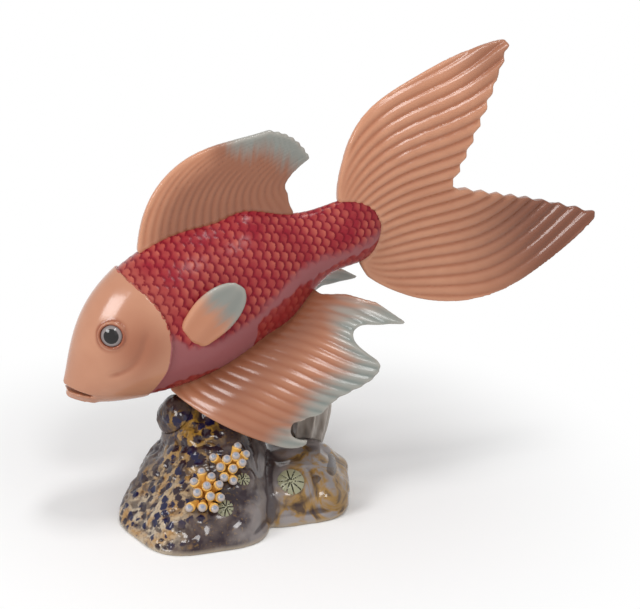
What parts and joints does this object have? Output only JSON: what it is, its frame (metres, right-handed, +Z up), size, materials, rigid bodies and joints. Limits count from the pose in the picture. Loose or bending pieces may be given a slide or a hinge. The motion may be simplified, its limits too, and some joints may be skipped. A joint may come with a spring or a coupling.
{
  "type": "porcelain fish figurine",
  "caption": "Glazed porcelain goldfish ornament swimming head-down over a rock with coral tufts, with a scaled body, fluted fins and a forked tail.",
  "frame": {"origin": "middle of the rock's flat foot, below the fish's mid-plane", "axes": "+Z up, +X along the fish from head to tail, the fish's left side towards -Y"},
  "size_m": [0.2297, 0.0889, 0.1835],
  "materials": {
    "body_glaze": "gloss",
    "head_glaze": "gloss",
    "fin_glaze": "gloss",
    "eye_glaze": "gloss",
    "rock_glaze": "gloss",
    "pillar_glaze": "gloss",
    "coral_glaze": "gloss",
    "bead_glaze": "gloss",
    "disc_glaze": "gloss"
  },
  "bodies": {
    "root": {"boulder": "rock_glaze", "dorsal_fin": "fin_glaze", "head": "head_glaze", "large_shell_disc": "disc_glaze", "left_eye": "eye_glaze", "left_pectoral_fin": "fin_glaze", "left_pelvic_fin": "fin_glaze", "lower_coral_beads": "bead_glaze", "lower_polyp_01": "coral_glaze", "lower_polyp_02": "coral_glaze", "lower_polyp_03": "coral_glaze", "lower_polyp_04": "coral_glaze", "lower_polyp_05": "coral_glaze", "lower_polyp_06": "coral_glaze", "lower_polyp_07": "coral_glaze", "lower_polyp_08": "coral_glaze", "lower_polyp_09": "coral_glaze", "lower_polyp_10": "coral_glaze", "lower_polyp_11": "coral_glaze", "middle_shell_disc": "disc_glaze", "right_eye": "eye_glaze", "right_pectoral_fin": "fin_glaze", "right_pelvic_fin": "fin_glaze", "rock_base": "rock_glaze", "rock_pillar": "pillar_glaze", "small_shell_disc": "disc_glaze", "tail_fin": "fin_glaze", "trunk": "body_glaze", "upper_coral_beads": "bead_glaze", "upper_polyp_01": "coral_glaze", "upper_polyp_02": "coral_glaze", "upper_polyp_03": "coral_glaze", "upper_polyp_04": "coral_glaze", "upper_polyp_05": "coral_glaze", "upper_polyp_06": "coral_glaze", "upper_polyp_07": "coral_glaze", "upper_polyp_08": "coral_glaze", "upper_polyp_09": "coral_glaze", "upper_polyp_10": "coral_glaze"}
  },
  "joints": []
}
